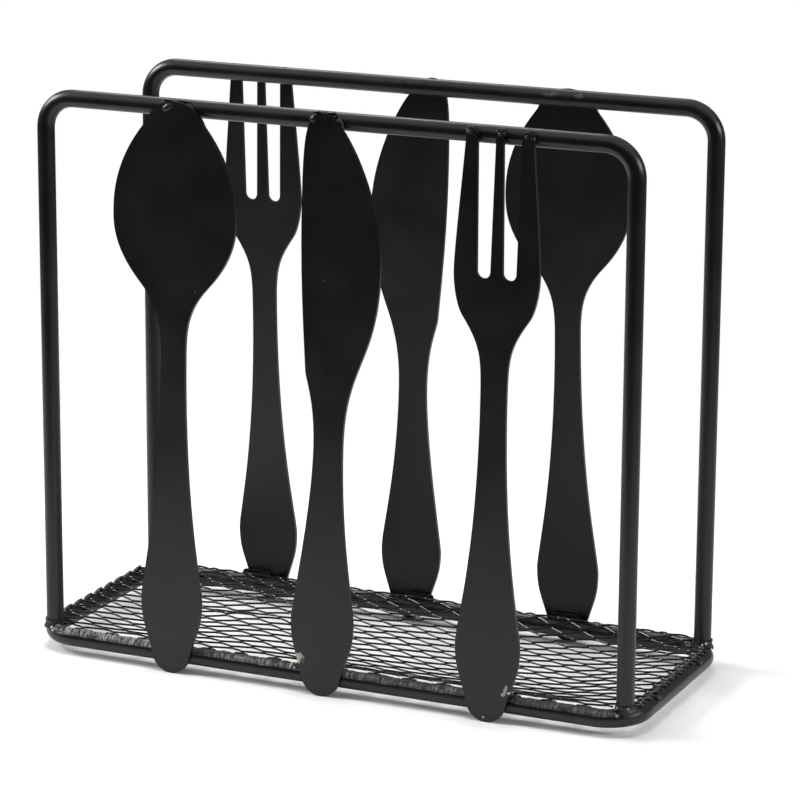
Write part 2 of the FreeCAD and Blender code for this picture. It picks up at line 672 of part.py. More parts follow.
def make_mesh_tacks():
    """Tacks in the groove between the ring's outer shoulder and the sheet that laps over it."""
    tacks = []
    spots = []
    for side_x in (-1, 1):
        for step in (-0.5, 0.5):
            spots.append((f"{side_x} * ({RING_X} + {ROD_RADIUS} * 0.5)", f"{step} * Sizes.tack_side_spacing", 90))
    for side_y in (-1, 1):
        for step in (-1, 1):
            spots.append((f"{step} * Sizes.tack_long_spacing", f"{side_y} * ({RING_Y} + {ROD_RADIUS} * 0.5)", 0))
    for number, (x, y, turn) in enumerate(spots, start=1):
        tack = bead(f"mesh_tack_{number}", "Sizes.tack_length", "Sizes.tack_radius", turn)
        place(tack, x, y, f"{RING_Z} + {ROD_RADIUS} * 0.8")
        tacks.append(tack)
    rods = []
    for name, side_y in (("front", -1), ("rear", 1)):
        rods.append(rod_along_x(f"mesh_tack_{name}_room", f"{side_y} * {RING_Y}", RING_Z))
    for name, side_x in (("left", -1), ("right", 1)):
        rod = doc.addObject("Part::Cylinder", f"mesh_tack_{name}_room")
        rod.Placement = Placement(Vector(0, 0, 0), ALONG_Y)
        rod.setExpression("Radius", STAND_OFF)
        rod.setExpression("Height", "Sizes.frame_depth")
        place(rod, f"{side_x} * {RING_X}", f"-{FRAME_Y}", RING_Z)
        rods.append(rod)
    above = box("mesh_tack_sheet_room", (f"4 * {LEG_X}", f"6 * {FRAME_Y}", "Sizes.tack_radius * 4"),
                (f"-2 * {LEG_X}", f"-3 * {FRAME_Y}", f"{RING_Z} + {ROD_RADIUS}"))
    return cut("mesh_tack_welds", tacks, rods + [above])


def make_seam_weld():
    """The butt weld that closes the ring, ground flat on top for the mesh."""
    band = doc.addObject("Part::Cylinder", "seam_band")
    band.Placement = Placement(Vector(0, 0, 0), ALONG_X)
    band.setExpression("Radius", f"{ROD_RADIUS} + Sizes.seam_weld_proud")
    band.setExpression("Height", "Sizes.seam_weld_width")
    place(band, "Sizes.seam_offset - Sizes.seam_weld_width / 2", RING_Y, RING_Z)
    rod = rod_along_x("seam_rod_room", RING_Y, RING_Z)
    flat = box("seam_flat_room", ("Sizes.rod_diameter * 2", "Sizes.rod_diameter * 2", "Sizes.rod_diameter"),
               ("Sizes.seam_offset - Sizes.rod_diameter", f"{RING_Y} - Sizes.rod_diameter",
                f"{RING_Z} + {ROD_RADIUS} * 0.8"))
    return cut("ring_seam_weld", [band], [rod, flat])


# ---------------------------------------------------------------- the holder

def make_side(name, side):
    """One frame with its three plates and their welds."""
    tine = "(Sizes.fork_middle_tine_top_width / 2 + Sizes.fork_slot_top_width / 2 + Sizes.fork_top_width / 4)"
    plates = {
        "spoon": (spoon_outline(), -1, "Sizes.spoon_over_rail",
                  [("0", "Sizes.spoon_top_weld_length")], "0"),
        "knife": (knife_outline(), 1, "Sizes.knife_over_rail",
                  [("-Sizes.knife_point_shift", "Sizes.knife_top_weld_length")], "-Sizes.ring_weld_shift"),
        "fork": (fork_outline(), 1, "Sizes.fork_over_rail",
                 [("-1 * " + tine, "Sizes.tine_weld_length"), ("0", "Sizes.tine_weld_length"),
                  (tine, "Sizes.tine_weld_length")], "Sizes.ring_weld_shift"),
    }
    pieces = [make_frame(f"{name}_frame", side), make_foot_welds(f"{name}_foot_welds", side)]
    for kind, (outline, hand, over_rail, top_beads, ring_shift) in plates.items():
        label = f"{name}_{kind}"
        across = f"({hand} * Sizes.{label}_offset)"
        pieces.append(make_plate(label, outline, side, across))
        pieces.append(make_plate_welds(label, side, across, over_rail, top_beads, ring_shift))
    return pieces


pieces = [make_ring()]
pieces += make_side("front", FRONT)
pieces += make_side("rear", REAR)
pieces += [make_mesh(), make_mesh_tacks(), make_seam_weld()]
doc.recompute()

for thing in doc.Objects:
    faults = {"Invalid", "Error"} & set(thing.State)
    if faults:
        raise RuntimeError(f"{thing.Name}: {', '.join(sorted(faults))}")

os.makedirs("parts", exist_ok=True)
for piece in pieces:
    shape = piece.Shape
    if shape.isNull() or not shape.isValid() or not shape.Solids:
        raise RuntimeError(f"{piece.Label}: no valid solid")
    if shape.Volume <= 0:
        raise RuntimeError(f"{piece.Label}: turned inside out")
    shape.exportStep(f"parts/{piece.Label}.step")
    box_ = shape.BoundBox
    print(f"{piece.Label:20s} {len(shape.Solids)} solid(s) {shape.Volume:9.1f} mm3"
          f"  x {box_.XMin:7.2f} {box_.XMax:7.2f}  y {box_.YMin:7.2f} {box_.YMax:7.2f}"
          f"  z {box_.ZMin:6.2f} {box_.ZMax:6.2f}")
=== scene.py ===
"""Black wire napkin holder with cutlery-shaped plates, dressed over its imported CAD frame.

Everything is in metres, in the frame of the part: X along the holder, -Y towards its front.
"""

import math

import bpy
from mathutils import Matrix, Vector, noise


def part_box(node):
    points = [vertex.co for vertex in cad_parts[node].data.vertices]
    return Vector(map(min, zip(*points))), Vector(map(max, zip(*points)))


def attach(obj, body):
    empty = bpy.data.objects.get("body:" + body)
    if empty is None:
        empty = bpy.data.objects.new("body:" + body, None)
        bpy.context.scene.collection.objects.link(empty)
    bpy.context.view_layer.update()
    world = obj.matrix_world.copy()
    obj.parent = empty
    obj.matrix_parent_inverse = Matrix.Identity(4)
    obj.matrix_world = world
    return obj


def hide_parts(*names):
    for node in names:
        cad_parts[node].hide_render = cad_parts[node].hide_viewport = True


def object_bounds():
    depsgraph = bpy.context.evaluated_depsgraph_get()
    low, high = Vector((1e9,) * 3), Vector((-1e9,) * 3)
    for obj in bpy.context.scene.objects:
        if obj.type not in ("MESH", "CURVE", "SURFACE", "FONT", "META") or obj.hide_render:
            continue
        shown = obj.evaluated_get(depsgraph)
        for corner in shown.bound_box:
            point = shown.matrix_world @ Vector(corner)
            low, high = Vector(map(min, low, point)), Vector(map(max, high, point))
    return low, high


MM = 0.001
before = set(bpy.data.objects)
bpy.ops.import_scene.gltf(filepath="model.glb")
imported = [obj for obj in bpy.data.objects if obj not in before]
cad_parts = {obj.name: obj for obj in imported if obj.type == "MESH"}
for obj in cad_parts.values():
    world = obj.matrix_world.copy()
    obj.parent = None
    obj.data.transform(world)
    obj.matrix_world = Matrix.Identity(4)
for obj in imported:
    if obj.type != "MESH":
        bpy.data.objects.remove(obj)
CAD_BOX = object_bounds()

# ---------------------------------------------------------------- sizes read from the frame
RING_LOW, RING_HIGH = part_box("base_ring")
ROD_RADIUS = (RING_HIGH.z - RING_LOW.z) / 2
RING_AXIS = Vector((RING_HIGH.x - ROD_RADIUS, RING_HIGH.y - ROD_RADIUS, RING_LOW.z + ROD_RADIUS))

# ---------------------------------------------------------------- camera and light
CAMERA_AT = Vector((0.3669, -0.7993, 0.2956))
CAMERA_AZIMUTH = math.radians(24.28)
CAMERA_ELEVATION = math.radians(14.43)
CAMERA_ROLL = math.radians(0.35)
CAMERA_LENS = 159.3
CAMERA_SENSOR = 36                 # millimetres, as the lens is
CAMERA_NEAR = 0.05

# Softboxes: name, place, size and power. The top one is kept out of the coating's reflections.
SOFTBOXES = [
    ("softbox_top", (0.0, -0.02, 0.95), (0.40, 0.32), 4.0),
    ("softbox_left", (-0.76, -0.14, 0.50), (0.46, 0.26), 6.2),
    ("softbox_right", (0.86, -0.04, 0.44), (0.52, 0.26), 3.5),
    ("softbox_rim", (-0.40, 0.60, 0.75), (0.30, 0.20), 1.2),
]
UNMIRRORED = "softbox_top"
LAMP_TARGET = Vector((0, 0, 0.06))

# The white studio: what the coating mirrors behind and above the holder, and the fill from all round.
MIRRORED_BEHIND = (-0.30, 0.70, 0.04, 0.24)    # from and to a direction's Y, from and to a strength
MIRRORED_ABOVE = (0.50, 0.76, 0.0, 0.85)       # the same for its Z
FILL = 0.22

FLOOR_LEFT, FLOOR_RIGHT, FLOOR_FRONT, FLOOR_BACK = -0.40, 0.34, -0.21, 0.32
FLOOR_TONE = 0.85
SWEEP_REACH = (0.34, 0.21)         # half sizes of the patch of floor that shows shadows
SWEEP_FADE = (0.60, 0.95)          # shares of that patch between which it fades to white


def make_camera():
    data = bpy.data.cameras.new("camera")
    data.lens = CAMERA_LENS
    data.sensor_width = CAMERA_SENSOR
    data.clip_start = CAMERA_NEAR
    camera = bpy.data.objects.new("camera", data)
    bpy.context.scene.collection.objects.link(camera)
    turn = (Matrix.Rotation(CAMERA_AZIMUTH, 4, "Z")
            @ Matrix.Rotation(math.pi / 2 - CAMERA_ELEVATION, 4, "X")
            @ Matrix.Rotation(CAMERA_ROLL, 4, "Z"))
    camera.matrix_world = Matrix.Translation(CAMERA_AT) @ turn
    bpy.context.scene.camera = camera


def make_lamp(name, place, size, power):
    """A softbox that faces the holder."""
    data = bpy.data.lights.new(name, "AREA")
    data.shape = "RECTANGLE"
    data.size, data.size_y = size
    data.energy = power
    lamp = bpy.data.objects.new(name, data)
    lamp.location = place
    lamp.rotation_euler = (LAMP_TARGET - Vector(place)).to_track_quat("-Z", "Y").to_euler()
    lamp.visible_glossy = name != UNMIRRORED
    bpy.context.scene.collection.objects.link(lamp)


# ---------------------------------------------------------------- node helpers

class Nodes:
    """A short way to add shader nodes and link them."""

    def __init__(self, tree):
        self.tree = tree
        self.tree.nodes.clear()

    def add(self, kind, inputs=None, **settings):
        node = self.tree.nodes.new(kind)
        for key, value in settings.items():
            setattr(node, key, value)
        for key, value in (inputs or {}).items():
            socket = node.inputs[key]
            if isinstance(value, bpy.types.NodeSocket):
                self.tree.links.new(value, socket)
            else:
                socket.default_value = value
        return node

    def ramp(self, factor, start, end):
        """A smooth ramp between two stops, each a place and a colour."""
        node = self.add("ShaderNodeValToRGB", {"Fac": factor})
        node.color_ramp.interpolation = "EASE"
        for element, (place, colour) in zip(node.color_ramp.elements, (start, end)):
            element.position = place
            element.color = colour
        return node.outputs["Color"]

    def noise(self, place, scale, detail, roughness):
        return self.add("ShaderNodeTexNoise", {"Vector": place, "Scale": scale, "Detail": detail,
                                               "Roughness": roughness}).outputs["Fac"]

    def vector(self, operation, a, b):
        return self.add("ShaderNodeVectorMath", {0: a, 1: b}, operation=operation).outputs["Vector"]

    def length(self, a):
        return self.add("ShaderNodeVectorMath", {0: a}, operation="LENGTH").outputs["Value"]

    def remap(self, value, low, high, to_low, to_high):
        node = self.add("ShaderNodeMapRange", {"Value": value, "From Min": low, "From Max": high,
                                               "To Min": to_low, "To Max": to_high})
        return node.outputs["Result"]

    def math(self, operation, a, b):
        return self.add("ShaderNodeMath", {0: a, 1: b}, operation=operation).outputs[0]

    def mix(self, factor, a, b):
        node = self.add("ShaderNodeMix", {0: factor, 6: a, 7: b}, data_type="RGBA")
        return node.outputs[2]


def grey(value, warmth=0.0):
    return (value * (1 + warmth), value, value * (1 - warmth), 1)


def cool(value):
    """The slightly blue black of the coating."""
    return (value, value * 0.97, value * 1.35, 1)


def make_world():
    """White to the camera; to the coating a white studio that is dark in front of the holder."""
    world = bpy.data.worlds.new("studio")
    bpy.context.scene.world = world
    world.use_nodes = True
    nodes = Nodes(world.node_tree)
    direction = nodes.add("ShaderNodeTexCoord").outputs["Generated"]
    split = nodes.add("ShaderNodeSeparateXYZ", {"Vector": direction})
    behind = nodes.remap(split.outputs["Y"], *MIRRORED_BEHIND)
    above = nodes.remap(split.outputs["Z"], *MIRRORED_ABOVE)
    studio = nodes.math("MAXIMUM", behind, above)
    path = nodes.add("ShaderNodeLightPath")
    seen = nodes.add("ShaderNodeBackground", {"Color": grey(1.0), "Strength": 1.0})
    mirrored = nodes.add("ShaderNodeBackground", {"Color": grey(1.0), "Strength": studio})
    fill = nodes.add("ShaderNodeBackground", {"Color": grey(1.0), "Strength": FILL})
    glossy = nodes.add("ShaderNodeMixShader", {0: path.outputs["Is Glossy Ray"],
                                               1: fill.outputs[0], 2: mirrored.outputs[0]})
    camera = nodes.add("ShaderNodeMixShader", {0: path.outputs["Is Camera Ray"],
                                               1: glossy.outputs[0], 2: seen.outputs[0]})
    nodes.add("ShaderNodeOutputWorld", {"Surface": camera.outputs[0]})


def make_floor():
    """A sheet of white paper that takes the holder's shadow and fades to plain white round it."""
    mesh = bpy.data.meshes.new("floor")
    corners = [(FLOOR_LEFT, FLOOR_FRONT, 0), (FLOOR_RIGHT, FLOOR_FRONT, 0),
               (FLOOR_RIGHT, FLOOR_BACK, 0), (FLOOR_LEFT, FLOOR_BACK, 0)]
    mesh.from_pydata(corners, [], [(0, 1, 2, 3)])
    floor = bpy.data.objects.new("floor", mesh)
    bpy.context.scene.collection.objects.link(floor)
    material = bpy.data.materials.new("floor_paper")
    material.use_nodes = True
    nodes = Nodes(material.node_tree)
    path = nodes.add("ShaderNodeLightPath")
    colour = nodes.mix(path.outputs["Is Camera Ray"], grey(FLOOR_TONE), grey(1.0))
    paper = nodes.add("ShaderNodeBsdfDiffuse", {"Color": colour})
    white = nodes.add("ShaderNodeEmission", {"Color": grey(1.0), "Strength": 1.0})
    place = nodes.add("ShaderNodeNewGeometry").outputs["Position"]
    share = nodes.vector("MULTIPLY", place, (1 / SWEEP_REACH[0], 1 / SWEEP_REACH[1], 1))
    far = nodes.remap(nodes.length(share), *SWEEP_FADE, 0.0, 1.0)
    blank = nodes.math("MULTIPLY", far, path.outputs["Is Camera Ray"])
    sweep = nodes.add("ShaderNodeMixShader", {0: blank, 1: paper.outputs[0], 2: white.outputs[0]})
    nodes.add("ShaderNodeOutputMaterial", {"Surface": sweep.outputs[0]})
    mesh.materials.append(material)


# ---------------------------------------------------------------- materials

# Colours of the marks left by the maker, and the painted highlight colours that stand in for glints on the
# feet's welds.
ASH = (0.44, 0.42, 0.36, 1)
PALE = (0.70, 0.68, 0.62, 1)
ROSE = (0.36, 0.30, 0.28, 1)
RUST = (0.070, 0.045, 0.030, 1)
DUST = (0.20, 0.20, 0.21, 1)
HAZE = (0.045, 0.045, 0.050, 1)
# Painted highlight: the pale and the dimmer colour of the glints painted on the feet's welds.
PAINTED_GLINT = (0.62, 0.62, 0.64, 1)
DIM_PAINTED_GLINT = (0.28, 0.28, 0.29, 1)

# Marks: centre and half sizes in millimetres, raggedness, colour.
HANDLE_MARKS = [
    ((-5.7, -33.6, 9.6), (1.5, 3.0, 1.2), 1.2, ASH),
    ((-5.9, -33.6, 8.7), (0.7, 3.0, 1.0), 0.7, ASH),
    ((-4.8, -33.6, 8.7), (0.7, 3.0, 0.9), 0.7, RUST),
    ((50.2, -33.8, 7.7), (0.6, 3.0, 0.5), 0.5, ROSE),
    ((50.6, -33.8, 8.6), (0.45, 3.0, 1.0), 0.3, ROSE),
    ((51.0, -33.8, 9.5), (0.4, 3.0, 0.9), 0.3, ROSE),
    ((51.7, -33.2, 8.3), (0.45, 3.0, 0.4), 0.4, PALE),
]
TIP_MARK = ((45.0, -34.5, 1.2), (0.35, 2.0, 0.3), 0.4, ASH)
SCRAPES = [
    ((-9.0, -32.4, 6.4), (0.35, 3.0, 0.8), 0.4, ASH),
    ((-7.8, -32.4, 6.5), (0.35, 3.0, 0.8), 0.4, ASH),
]
SMEARS = [
    ((36.0, 26.2, 147.3), (2.6, 2.0, 0.7), 1.1, HAZE),
    ((43.7, 26.2, 147.3), (1.3, 2.0, 0.6), 1.0, HAZE),
]
# Painted highlights: pale spots in the coating's colour that stand in for glints of light on the weld blobs
# at the feet.
LEFT_GLINTS = [
    ((-79.5, -31.0, 6.0), (0.40, 1.0, 0.50), 0.3, PAINTED_GLINT),
    ((-79.1, -31.1, 5.4), (0.45, 1.0, 0.30), 0.3, PAINTED_GLINT),
]
GLINTS = LEFT_GLINTS + [
    ((78.7, -30.2, 7.3), (0.42, 1.0, 0.42), 0.2, DIM_PAINTED_GLINT),
    ((79.1, -31.1, 5.6), (0.42, 1.0, 0.42), 0.2, DIM_PAINTED_GLINT),
    ((81.5, -29.9, 7.3), (0.30, 1.0, 0.30), 0.2, DIM_PAINTED_GLINT),
    ((80.8, 25.6, 7.0), (0.35, 1.0, 0.35), 0.2, PAINTED_GLINT),
    ((81.7, 26.1, 7.3), (0.30, 1.0, 0.40), 0.2, PAINTED_GLINT),
]

# Specks of dust on the front plates: X, Z and radius in millimetres.
SPECKS = [
    (-35.5, 100.6, 0.22), (3.2, 140.4, 0.26), (-8.45, 126.3, 0.20), (0.0, 107.1, 0.22), (38.1, 88.0, 0.18),
]
PLATE_MARKS = HANDLE_MARKS + [TIP_MARK]
PLATE_MARKS += [((x, -34.0, z), (radius, 3.0, radius), 0.4, DUST) for x, z, radius in SPECKS]

# Scale, detail and roughness of the coating's noises.
PEEL_NOISE = (1900.0, 3.0, 0.6)
CLOUD_NOISE = (70.0, 4.0, 0.55)
GRIME_NOISE = (900.0, 5.0, 0.7)
TEAR_NOISE = (1400.0, 3.0, 0.7)
FIBRE_NOISE = (1500.0, 2.0, 0.6)
PATCH_NOISE = (130.0, 3.0, 0.6)
CLOUD_SPAN = (0.3, 0.7)            # of the cloud noise, from the darker coating to the paler
CLOUD_TONES = (0.82, 1.2)          # shares of the base tone there
GRIME_SPAN = (0.5, 0.72)
FIBRE_SPAN = (0.42, 0.62)
PATCH_SPAN = (0.35, 0.60)
PATCH_HIGHLIGHT = (0.35, 1.0)            # share of the painted highlight there
PEEL_STRENGTH = 0.5
SHEEN_SPREAD = 0.05                # of the roughness, to both sides
TEAR_EDGE = (1.0, 0.75)            # share of a mark's half size where it starts and where it is full

DUST_SCALE = 150.0
DUST_RADIUS = 0.035                # of a cell of the dust
DUST_TONE = (0.22, 0.05)
GRIME_TONE = (0.16, 0.06)

COATING_IOR = 1.5
RAW_TONE = (0.008, 0.0)            # of the pressed edge between its painted rib highlights
# Painted highlight: the grey that stands in for the glints of the pressed edge's ribs.
PAINTED_RIB_HIGHLIGHT = (0.50, 0.02)
PRESSED_ROUGHNESS = 0.34
FIBRE_STRETCH = (1.0, 0.22, 0.22)

# Painted highlight of the pressed edge's ribs, stronger lower on the rod and at the left end, each from and
# to a place, and from and to a strength.
HIGHLIGHT_BELOW = (6.75 * MM, 6.40 * MM, 0.10, 0.55)
HIGHLIGHT_FROM_LEFT = (-34 * MM, -29 * MM, 0.1, 1.0)
HIGHLIGHT_TO_RIGHT = (0.0, 50 * MM, 1.0, 0.45)
HIGHLIGHT_LEFT_END = (-46 * MM, -36 * MM, 1.0, 0.0)


def mark(nodes, place, tone, centre, halves, ragged, colour):
    """Mixes one ragged spot into a colour."""
    offset = nodes.vector("SUBTRACT", place, tuple(v * MM for v in centre))
    share = nodes.vector("MULTIPLY", offset, tuple(1 / (v * MM) for v in halves))
    tear = nodes.noise(place, *TEAR_NOISE)
    torn = nodes.math("MULTIPLY", nodes.math("SUBTRACT", tear, 0.5), ragged * 2)
    amount = nodes.remap(nodes.math("ADD", nodes.length(share), torn), *TEAR_EDGE, 0.0, 1.0)
    return nodes.mix(amount, tone, colour)


def coating(name, base, roughness, peel, dust=0.0, grime=0.0, marks=()):
    """Satin black powder coat with fine orange peel, slight cloudiness, and dust, grime and marks."""
    material = bpy.data.materials.new(name)
    material.use_nodes = True
    nodes = Nodes(material.node_tree)
    place = nodes.add("ShaderNodeTexCoord").outputs["Object"]
    fine = nodes.noise(place, *PEEL_NOISE)
    broad = nodes.noise(place, *CLOUD_NOISE)
    tone = nodes.ramp(broad, *((at, cool(base * share)) for at, share in zip(CLOUD_SPAN, CLOUD_TONES)))
    if dust:
        cells = nodes.add("ShaderNodeTexVoronoi", {"Vector": place, "Scale": DUST_SCALE}, feature="F1")
        pick = nodes.add("ShaderNodeSeparateColor", {"Color": cells.outputs["Color"]})
        chosen = nodes.math("GREATER_THAN", pick.outputs[0], 1 - dust)
        near = nodes.math("LESS_THAN", cells.outputs["Distance"], DUST_RADIUS)
        tone = nodes.mix(nodes.math("MULTIPLY", chosen, near), tone, grey(*DUST_TONE))
    if grime:
        amount = nodes.remap(nodes.noise(place, *GRIME_NOISE), *GRIME_SPAN, 0.0, grime)
        tone = nodes.mix(amount, tone, grey(*GRIME_TONE))
    for centre, halves, ragged, colour in marks:
        tone = mark(nodes, place, tone, centre, halves, ragged, colour)
    sheen = nodes.remap(broad, *CLOUD_SPAN, roughness - SHEEN_SPREAD, roughness + SHEEN_SPREAD)
    bump = nodes.add("ShaderNodeBump", {"Height": fine, "Strength": PEEL_STRENGTH, "Distance": peel})
    surface = nodes.add("ShaderNodeBsdfPrincipled", {"Base Color": tone, "Roughness": sheen,
                                                     "IOR": COATING_IOR, "Normal": bump.outputs["Normal"]})
    nodes.add("ShaderNodeOutputMaterial", {"Surface": surface.outputs[0]})
    return material


def pressed_coating():
    """The hammered edge: coating painted grey along its ribs as a painted highlight of their glints, most at
    the left end.
    """
    material = bpy.data.materials.new("pressed_coating")
    material.use_nodes = True
    nodes = Nodes(material.node_tree)
    place = nodes.add("ShaderNodeTexCoord").outputs["Object"]
    drawn = nodes.vector("MULTIPLY", place, FIBRE_STRETCH)
    fibre = nodes.noise(drawn, *FIBRE_NOISE)
    patch = nodes.noise(place, *PATCH_NOISE)
    split = nodes.add("ShaderNodeSeparateXYZ", {"Vector": place})
    across = split.outputs["X"]
    highlight_share = nodes.remap(split.outputs["Z"], *HIGHLIGHT_BELOW)
    highlight_share = nodes.math("MULTIPLY", highlight_share, nodes.remap(across, *HIGHLIGHT_FROM_LEFT))
    highlight_share = nodes.math("MULTIPLY", highlight_share, nodes.remap(across, *HIGHLIGHT_TO_RIGHT))
    highlight_share = nodes.math("MAXIMUM", highlight_share, nodes.remap(across, *HIGHLIGHT_LEFT_END))
    # Painted highlight along the ribs, mixed into the colour by place: stronger low on the rod and at the
    # left end, weaker from -34 to -29 mm and towards the right.
    painted_highlight = nodes.math("MULTIPLY", nodes.remap(fibre, *FIBRE_SPAN, 0.0, 1.0), highlight_share)
    painted_highlight = nodes.math("MULTIPLY", painted_highlight, nodes.remap(patch, *PATCH_SPAN, *PATCH_HIGHLIGHT))
    tone = nodes.mix(painted_highlight, grey(*RAW_TONE), grey(*PAINTED_RIB_HIGHLIGHT))
    # LEFT_GLINTS paints highlights of glints at the left foot into this colour.
    for centre, halves, ragged, colour in HANDLE_MARKS + SCRAPES + LEFT_GLINTS:
        tone = mark(nodes, place, tone, centre, halves, ragged, colour)
    surface = nodes.add("ShaderNodeBsdfPrincipled", {"Base Color": tone, "Roughness": PRESSED_ROUGHNESS,
                                                     "IOR": COATING_IOR})
    nodes.add("ShaderNodeOutputMaterial", {"Surface": surface.outputs[0]})
    return material


def make_materials():
    """The coatings by name: base tone, roughness, depth of the orange peel, then dust, grime and marks."""
    return {
        # GLINTS are painted highlights of glints at the feet, mixed into the rod and weld coatings.
        "rod_coating": coating("rod_coating", 0.0044, 0.33, 0.00002, marks=SMEARS + GLINTS),
        "plate_coating": coating("plate_coating", 0.0043, 0.36, 0.00002, dust=0.01, marks=PLATE_MARKS),
        "mesh_coating": coating("mesh_coating", 0.0050, 0.24, 0.00003),
        "pressed_coating": pressed_coating(),
        "weld_coating": coating("weld_coating", 0.006, 0.38, 0.00008, grime=0.10,
                                marks=HANDLE_MARKS + GLINTS),
    }


def paint(piece, material):
    piece.data.materials.clear()
    piece.data.materials.append(material)


# ---------------------------------------------------------------- expanded mesh

PITCH_X = 9.4 * MM                 # long way of a diamond
PITCH_Y = 5.5 * MM                 # short way
COLUMNS = 18
ROWS = 12
STRAND_WIDTH = 0.52 * MM
STRAND_THICK = 0.28 * MM
STRAND_BEVEL = 0.07 * MM
STRAND_TILT = math.radians(58)
BOND_LENGTH = 0.6 * MM
SHEET_RISE = 0.40 * MM             # from the ring's top to the middle of the sheet
CORNER_RADIUS = 9.7 * MM           # of the ring's axis
LEG_INSET = Vector((2.5 * MM, 3.2 * MM))
LEG_CLEAR = 2.9 * MM               # the sheet is cut away this far round each leg
LAPS = {"front": 0.5 * MM, "rear": 2.2 * MM, "left": 0.9 * MM, "right": 0.7 * MM}

# The sheet sags between its rods by these depths, at these shares of the half length.
SAG = [(-1.0, 0.0), (-0.72, 1.4), (-0.34, 0.2), (0.0, 1.8), (0.30, 3.0), (0.66, 2.8), (1.0, 0.0)]
FOLD_AT = Vector((-41 * MM, 1 * MM))
FOLD_SIZE = Vector((9 * MM, 3.2 * MM))
FOLD_RISE = 1.1 * MM
SAG_MIDDLE = 3 * MM                # the sag's deepest line lies this far behind the ring's middle
SAG_FLATNESS = 3.2                 # power by which the sag fades towards the front and rear rods
SAG_START = 6 * MM                 # from the ring's axis to the full sag
STRAND_STEPS = 5                   # points between two bonds
BOND_SHARE = 0.49                  # of a strand's width between its middle and the bond's middle
JITTER = (0.35 * MM, 0.30 * MM)    # unevenness of the bonds along X and Y


def smooth(t):
    t = min(1.0, max(0.0, t))
    return t * t * (3 - 2 * t)


def sag_at(share):
    """Depth of the sheet's sag at a share of the ring's half length."""
    for (start, low), (end, high) in zip(SAG, SAG[1:]):
        if share <= end:
            return (low + (high - low) * smooth((share - start) / (end - start))) * MM
    return 0.0


def over_ring(x, y):
    """The nearest point of the ring's axis in plan, the way outwards there, and the distance past it."""
    inner = Vector((abs(x) - (RING_AXIS.x - CORNER_RADIUS), abs(y) - (RING_AXIS.y - CORNER_RADIUS)))
    if inner.x > 0 and inner.y > 0:
        way = inner.normalized()
        past = inner.length - CORNER_RADIUS
    elif abs(x) - RING_AXIS.x > abs(y) - RING_AXIS.y:
        way = Vector((1, 0))
        past = abs(x) - RING_AXIS.x
    else:
        way = Vector((0, 1))
        past = abs(y) - RING_AXIS.y
    way = Vector((math.copysign(way.x, x), math.copysign(way.y, y)))
    return way, past


def in_sheet(x, y):
    """True where the sheet still has strands: inside its laps over the ring and clear of the legs."""
    way, past = over_ring(x, y)
    if abs(way.x) > abs(way.y):
        lap = LAPS["right" if x > 0 else "left"]
    else:
        lap = LAPS["rear" if y > 0 else "front"]
    leg = Vector((RING_AXIS.x, RING_AXIS.y)) - LEG_INSET
    return past < lap and (Vector((abs(x), abs(y))) - leg).length > LEG_CLEAR


def sheet_point(x, y, up):
    """The place of a point of the flat sheet on the sagging sheet that laps over the ring."""
    way, past = over_ring(x, y)
    radius = ROD_RADIUS + SHEET_RISE
    if past > 0:
        bend = past / radius
        reach = (radius + up) * math.sin(bend) - past
        height = RING_AXIS.z + (radius + up) * math.cos(bend)
        return Vector((x + way.x * reach, y + way.y * reach, height))
    share = Vector((x / RING_AXIS.x, (y - SAG_MIDDLE) / (RING_AXIS.y + SAG_MIDDLE)))
    sag = sag_at(share.x) * (1 - min(1.0, abs(share.y)) ** SAG_FLATNESS) * smooth(-past / SAG_START)
    fold = Vector(((x - FOLD_AT.x) / FOLD_SIZE.x, (y - FOLD_AT.y) / FOLD_SIZE.y))
    lift = FOLD_RISE * fold.y * math.exp(-fold.length_squared)
    return Vector((x, y, RING_AXIS.z + radius - sag - lift + up))


def strand_section():
    """Corners of a strand's section, as (along its width, through its thickness), bevelled."""
    w = STRAND_WIDTH / 2
    t = STRAND_THICK / 2
    b = STRAND_BEVEL
    return [(w, t - b), (w - b, t), (b - w, t), (-w, t - b),
            (-w, b - t), (b - w, -t), (w - b, -t), (w, b - t)]


def strand_line(row):
    """Middle line of one zigzag strand of the flat sheet, cut away outside the ring and round the legs."""
    across = Vector((0, math.cos(STRAND_TILT), math.sin(STRAND_TILT)))
    low = (row - ROWS) * PITCH_Y / 2
    line = []
    for column in range(2 * COLUMNS + 1):
        at_low = (row + column) % 2 == 0
        level = low if at_low else low + PITCH_Y / 2
        seed = Vector((column * 1.7, level / PITCH_Y * 3.1, 0.5))
        jitter = Vector((JITTER[0] * noise.noise(seed), JITTER[1] * noise.noise(seed + Vector((9, 4, 2))), 0))
        bond = Vector(((column - COLUMNS) * PITCH_X / 2, level, 0)) + jitter
        centre = bond + across * STRAND_WIDTH * (BOND_SHARE if at_low else -BOND_SHARE)
        flat = Vector((BOND_LENGTH / 2, 0, 0))
        if column:
            before = line[-1]
            line += [before.lerp(centre - flat, step / STRAND_STEPS) for step in range(1, STRAND_STEPS + 1)]
        if column < 2 * COLUMNS:
            line.append(centre + flat)
    runs = [[]]
    for point in line:
        if in_sheet(point.x, point.y):
            runs[-1].append(point)
        elif runs[-1]:
            runs.append([])
    return [run for run in runs if len(run) > 2]


def sweep(vertices, faces, line, section, across, through, shape):
    """Adds a closed bar of the given section along a line, each point put in place by shape."""
    count = len(section)
    start = len(vertices)
    for centre in line:
        for width, thick in section:
            vertices.append(shape(centre + across * width + through * thick))
    for ring in range(len(line) - 1):
        a = start + ring * count
        for k in range(count):
            n = (k + 1) % count
            faces.append((a + k, a + n, a + count + n, a + count + k))
    last = start + (len(line) - 1) * count
    faces.append(tuple(start + k for k in reversed(range(count))))
    faces.append(tuple(last + k for k in range(count)))


